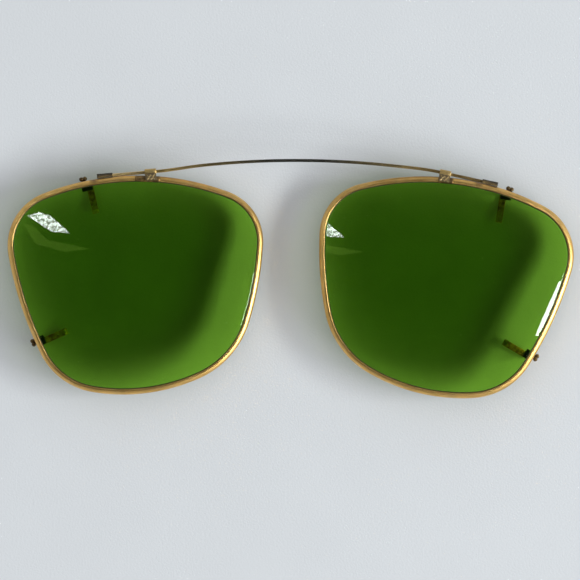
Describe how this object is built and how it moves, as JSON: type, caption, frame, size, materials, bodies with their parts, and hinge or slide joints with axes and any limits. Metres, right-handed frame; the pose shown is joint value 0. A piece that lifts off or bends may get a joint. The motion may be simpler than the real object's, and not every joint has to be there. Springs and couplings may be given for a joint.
{
  "type": "clip on sunglasses",
  "caption": "Pair of curved green glass lenses in gold filled rims, joined by a thin bowed bridge spring, with bent hooks behind that grip a pair of spectacles.",
  "frame": {"origin": "middle of the footprint, on the plane that the four hooks rest on", "axes": "+X to the right seen from the front of the lenses, +Y from the lenses to the bridge spring, +Z out of the lens fronts"},
  "size_m": [0.111, 0.0468, 0.0096],
  "materials": {
    "gold_filled_rim": "satin, worn gold filled wire",
    "green_glass": "polished green mineral glass",
    "spring_strip": "satin, darkened, brassy towards the ends",
    "tarnished_brass": "satin, tarnished, with dark hollows",
    "hook_strip": "satin, worn",
    "dark_solder": "matt, darkened brass and solder"
  },
  "bodies": {
    "bridge": {"bridge_spring": "spring_strip"},
    "left_lens": {"rim_left": "gold_filled_rim", "lens_left": "green_glass", "guide_loop_left": "tarnished_brass", "loop_saddle_left": "dark_solder", "end_block_left": "dark_solder", "upper_hook_left": "hook_strip", "lower_hook_left": "hook_strip", "upper_hook_foot_left": "dark_solder", "lower_hook_foot_left": "dark_solder"},
    "right_lens": {"rim_right": "gold_filled_rim", "lens_right": "green_glass", "guide_loop_right": "tarnished_brass", "loop_saddle_right": "dark_solder", "end_block_right": "dark_solder", "upper_hook_right": "hook_strip", "lower_hook_right": "hook_strip", "upper_hook_foot_right": "dark_solder", "lower_hook_foot_right": "dark_solder"}
  },
  "joints": [
    {"name": "left_flex", "type": "hinge", "parent": "bridge", "child": "left_lens", "pos_m": [-0.01251, 0.02258, 0.006], "axis": [0, 0, -1], "range_deg": [-3, 8], "deforming": ["bridge_spring"]},
    {"name": "right_flex", "type": "hinge", "parent": "bridge", "child": "right_lens", "pos_m": [0.01527, 0.02258, 0.006], "axis": [0, 0, 1], "range_deg": [-3, 8], "deforming": ["bridge_spring"]}
  ],
  "couplings": [
    {"joint": "right_flex", "follows": "left_flex", "ratio": 1}
  ]
}
